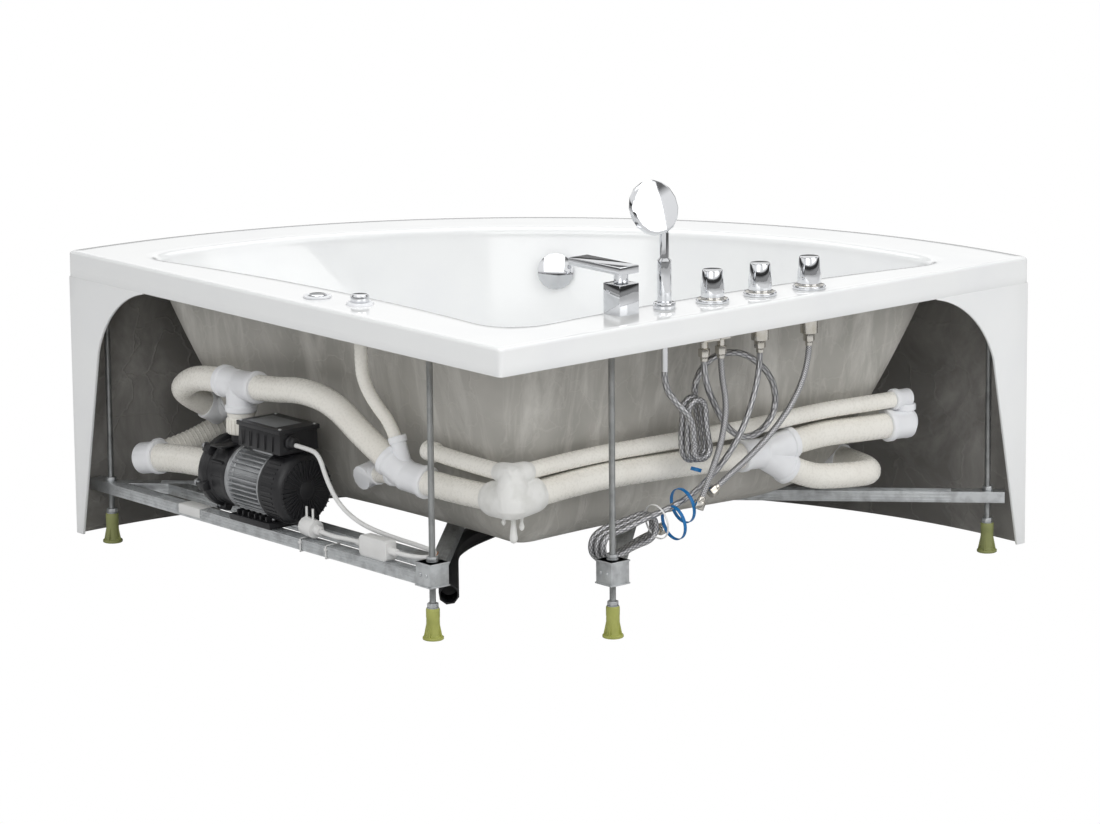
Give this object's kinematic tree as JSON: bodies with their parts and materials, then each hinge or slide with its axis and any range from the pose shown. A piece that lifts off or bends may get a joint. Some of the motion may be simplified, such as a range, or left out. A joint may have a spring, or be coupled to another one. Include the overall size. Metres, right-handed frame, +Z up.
{
  "type": "corner jetted bathtub",
  "caption": "Free-standing corner jetted bathtub with curved skirt, steel under-frame, pump, pipework, deck taps, hand shower and mains lead.",
  "frame": {"origin": "on the floor, below the middle of the tub's square outline", "axes": "+X runs from the wall corner along the pump wall, -Y from the wall corner along the tap wall, +Z up; the wall corner is at (-X, +Y)"},
  "size_m": [1.35, 1.35, 0.8359],
  "materials": {
    "shell_acrylic": "gloss white acrylic on glass fibre",
    "zinc": "galvanised steel",
    "timber": "plain wood",
    "foot_plastic": "olive plastic",
    "black_plastic": "black moulded plastic",
    "motor_alloy": "cast alloy",
    "pipe_white": "white pipe",
    "fitting_white": "white moulded fittings",
    "chrome": "polished chrome",
    "braid": "braided steel hose",
    "brass_nut": "plated brass",
    "cable_white": "white flex and mouldings"
  },
  "bodies": {
    "tub": {"tub_shell": "shell_acrylic", "apron_skirt": "shell_acrylic", "leg_rods": "zinc", "leg_nuts": "zinc", "deck_blocks": "timber", "leg_brackets": "zinc", "rail_outer": "zinc", "rail_inner": "zinc", "rail_chord": "zinc", "rail_diagonals": "zinc", "pump_volute": "black_plastic", "pump_fan_cover": "black_plastic", "pump_terminal_box": "black_plastic", "pump_motor": "motor_alloy", "pump_foot": "black_plastic", "pump_unions": "pipe_white", "pressure_pipes": "pipe_white", "air_pipes": "pipe_white", "suction_pipe": "pipe_white", "suction_hose": "pipe_white", "overflow_pipe": "black_plastic", "waste_pipe": "black_plastic", "pipe_fittings": "fitting_white", "corner_joint": "fitting_white", "jets": "chrome", "drain_body": "chrome", "overflow_body": "black_plastic", "spout_base": "chrome", "handset_holder": "chrome", "tap_valves": "chrome", "deck_air_fittings": "chrome", "braided_hoses": "braid", "hose_nuts": "brass_nut", "mains_lead": "cable_white", "residual_current_breaker": "cable_white", "mains_plug": "cable_white"},
    "foot_pump_corner": {"foot_pump_corner": "foot_plastic"},
    "foot_tap_corner": {"foot_tap_corner": "foot_plastic"},
    "foot_pump_end": {"foot_pump_end": "foot_plastic"},
    "foot_tap_end": {"foot_tap_end": "foot_plastic"},
    "pump_rotor": {"pump_rotor": "zinc"},
    "drain_plug": {"drain_plug": "chrome"},
    "overflow_knob": {"overflow_knob": "chrome"},
    "spout": {"spout": "chrome"},
    "handset": {"handset": "chrome"},
    "knob_diverter": {"knob_diverter": "chrome"},
    "knob_hot": {"knob_hot": "chrome"},
    "knob_cold": {"knob_cold": "chrome"},
    "pump_button": {"pump_button": "chrome"},
    "air_knob": {"air_knob": "chrome"}
  },
  "joints": [
    {"name": "foot_pump_corner_screw", "type": "slide", "parent": "tub", "child": "foot_pump_corner", "axis": [0, 0, -1], "range_m": [0, 0.025]},
    {"name": "foot_tap_corner_screw", "type": "slide", "parent": "tub", "child": "foot_tap_corner", "axis": [0, 0, -1], "range_m": [0, 0.025]},
    {"name": "foot_pump_end_screw", "type": "slide", "parent": "tub", "child": "foot_pump_end", "axis": [0, 0, -1], "range_m": [0, 0.025]},
    {"name": "foot_tap_end_screw", "type": "slide", "parent": "tub", "child": "foot_tap_end", "axis": [0, 0, -1], "range_m": [0, 0.025]},
    {"name": "pump_rotor_spin", "type": "hinge", "parent": "tub", "child": "pump_rotor", "pos_m": [0.185, 0.595, 0.205], "axis": [1, 0, 0], "continuous": true},
    {"name": "drain_plug_lift", "type": "slide", "parent": "tub", "child": "drain_plug", "axis": [0, 0, 1], "range_m": [0, 0.012]},
    {"name": "overflow_knob_turn", "type": "hinge", "parent": "tub", "child": "overflow_knob", "pos_m": [0.20296, -0.20296, 0.505], "axis": [0.6943, -0.6943, -0.1897], "range_deg": [0, 90]},
    {"name": "spout_swivel", "type": "hinge", "parent": "tub", "child": "spout", "pos_m": [-0.57, 0.295, 0.65], "axis": [0, 0, 1], "range_deg": [-60, 60]},
    {"name": "handset_lift", "type": "slide", "parent": "tub", "child": "handset", "axis": [0, 0, 1], "range_m": [0, 0.06]},
    {"name": "knob_diverter_turn", "type": "hinge", "parent": "tub", "child": "knob_diverter", "pos_m": [-0.602, 0.096, 0.62], "axis": [0, 0, 1], "range_deg": [0, 90]},
    {"name": "knob_hot_turn", "type": "hinge", "parent": "tub", "child": "knob_hot", "pos_m": [-0.611, -0.017, 0.62], "axis": [0, 0, 1], "range_deg": [0, 90]},
    {"name": "knob_cold_turn", "type": "hinge", "parent": "tub", "child": "knob_cold", "pos_m": [-0.625, -0.131, 0.62], "axis": [0, 0, 1], "range_deg": [0, 90]},
    {"name": "pump_button_press", "type": "slide", "parent": "tub", "child": "pump_button", "axis": [0, 0, -1], "range_m": [0, 0.004], "stiffness_N_per_m": 800, "springref_m": -0.002},
    {"name": "air_knob_turn", "type": "hinge", "parent": "tub", "child": "air_knob", "pos_m": [-0.17, 0.597, 0.608], "axis": [0, 0, 1], "range_deg": [0, 180]}
  ],
  "couplings": [
    {"joint": "drain_plug_lift", "follows": "overflow_knob_turn", "m_per_rad": 0.0076}
  ]
}
